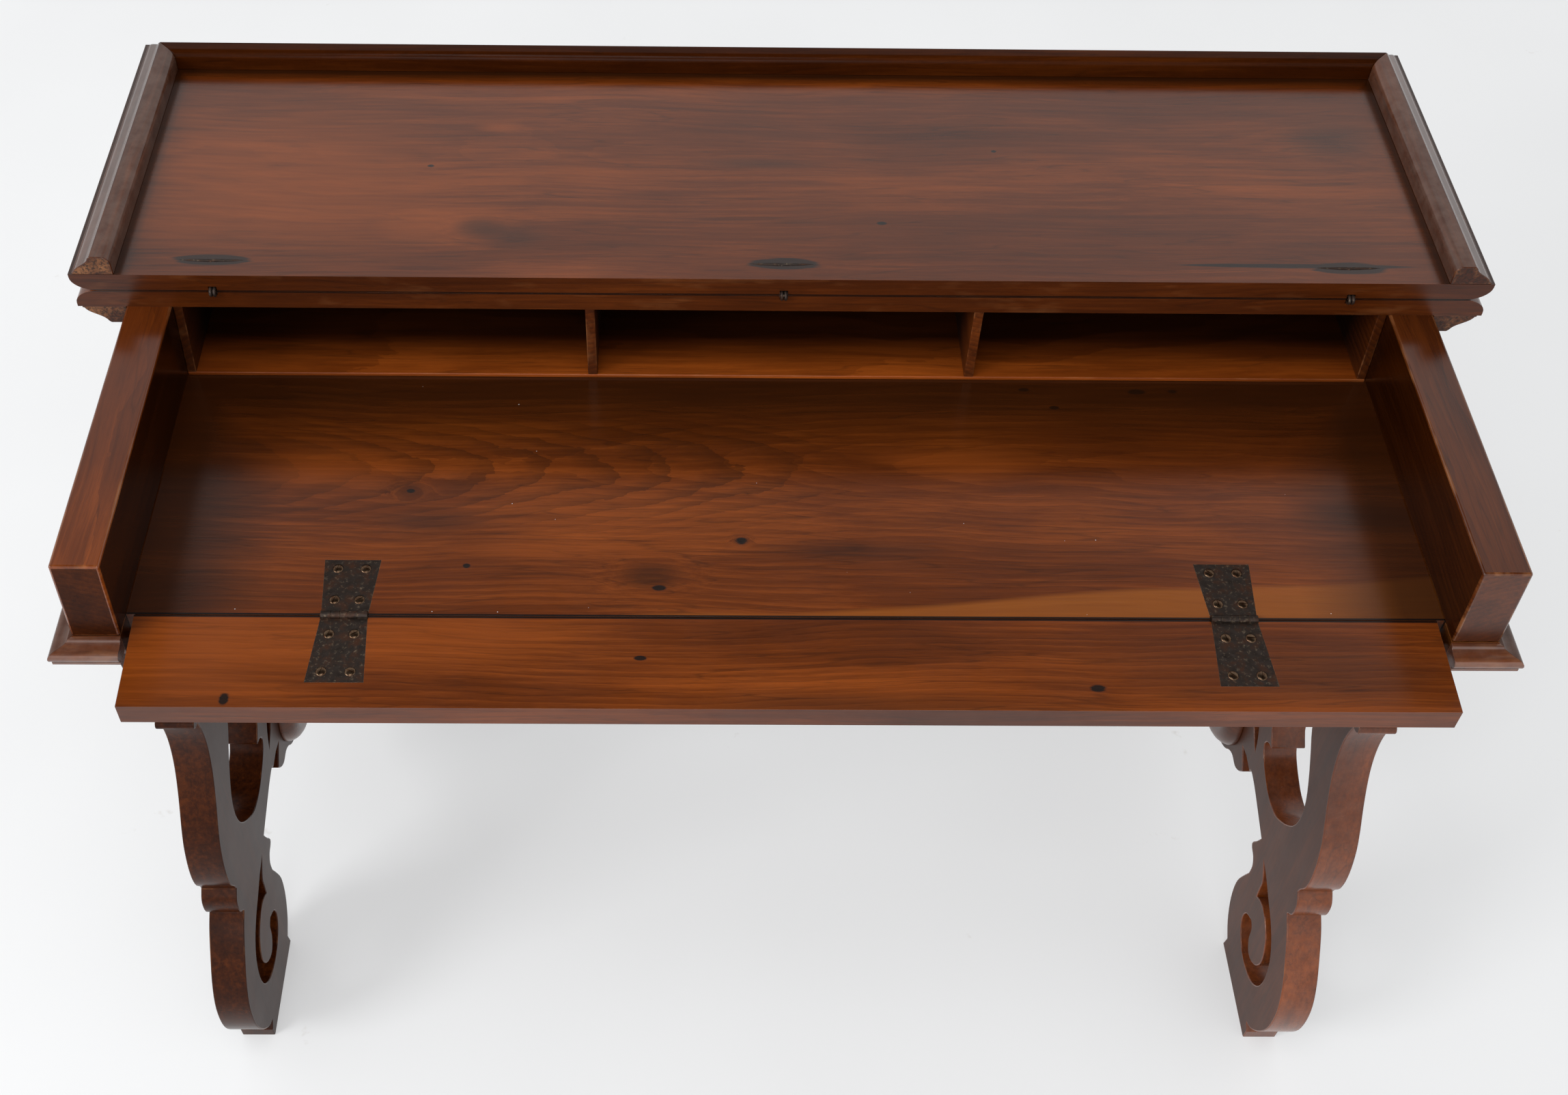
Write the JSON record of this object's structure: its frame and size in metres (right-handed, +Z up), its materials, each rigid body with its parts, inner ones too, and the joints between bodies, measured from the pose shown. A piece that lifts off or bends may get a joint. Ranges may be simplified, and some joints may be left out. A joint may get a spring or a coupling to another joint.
{
  "type": "writing desk",
  "caption": "Antique walnut writing desk on two pierced lyre trestles, with a fold-back lid, a fold-down writing flap and pigeonholes.",
  "frame": {"origin": "middle of the desk's outline on the floor, with the lid folded back and the flap down", "axes": "+X to the sitter's right along the length, -Y towards the sitter, +Z up"},
  "size_m": [1.235, 0.696, 0.849],
  "materials": {
    "walnut_boards": "wax polished",
    "walnut_sides": "wax polished",
    "walnut_mouldings": "wax polished",
    "walnut_trestles": "wax polished",
    "walnut_inside": "worn",
    "forged_iron": "forged, rust brown",
    "screw_iron": "worn bright"
  },
  "bodies": {
    "desk": {"left_trestle": "walnut_trestles", "right_trestle": "walnut_trestles", "left_cleat": "walnut_inside", "right_cleat": "walnut_inside", "stretcher": "walnut_trestles", "writing_board": "walnut_boards", "left_side": "walnut_sides", "right_side": "walnut_sides", "back_board": "walnut_sides", "base_moulding_left": "walnut_mouldings", "base_moulding_right": "walnut_mouldings", "base_moulding_back": "walnut_mouldings", "base_moulding_returns": "walnut_mouldings", "pigeonhole_floor": "walnut_inside", "divider_left": "walnut_inside", "divider_right": "walnut_inside", "end_board_left": "walnut_inside", "end_board_right": "walnut_inside", "fixed_top": "walnut_boards", "top_moulding_left": "walnut_mouldings", "top_moulding_right": "walnut_mouldings", "top_moulding_back": "walnut_mouldings", "loop_hinge_fixed_eyes": "forged_iron", "loop_hinge_pins": "forged_iron", "strap_hinge_left_board_leaf": "forged_iron", "strap_hinge_right_board_leaf": "forged_iron", "strap_hinge_pins": "forged_iron", "board_leaf_screws": "screw_iron"},
    "lid": {"lid_board": "walnut_boards", "lid_moulding_left": "walnut_mouldings", "lid_moulding_right": "walnut_mouldings", "lid_moulding_front": "walnut_mouldings", "loop_hinge_lid_eyes": "forged_iron"},
    "flap": {"flap_board": "walnut_boards", "strap_hinge_left_flap_leaf": "forged_iron", "strap_hinge_right_flap_leaf": "forged_iron", "flap_leaf_screws": "screw_iron"}
  },
  "joints": [
    {"name": "lid_fold", "type": "hinge", "parent": "desk", "child": "lid", "pos_m": [0, 0.005, 0.81015], "axis": [1, 0, 0], "range_deg": [0, 180]},
    {"name": "flap_fold", "type": "hinge", "parent": "desk", "child": "flap", "pos_m": [0, -0.2595, 0.701], "axis": [-1, 0, 0], "range_deg": [0, 90]}
  ]
}
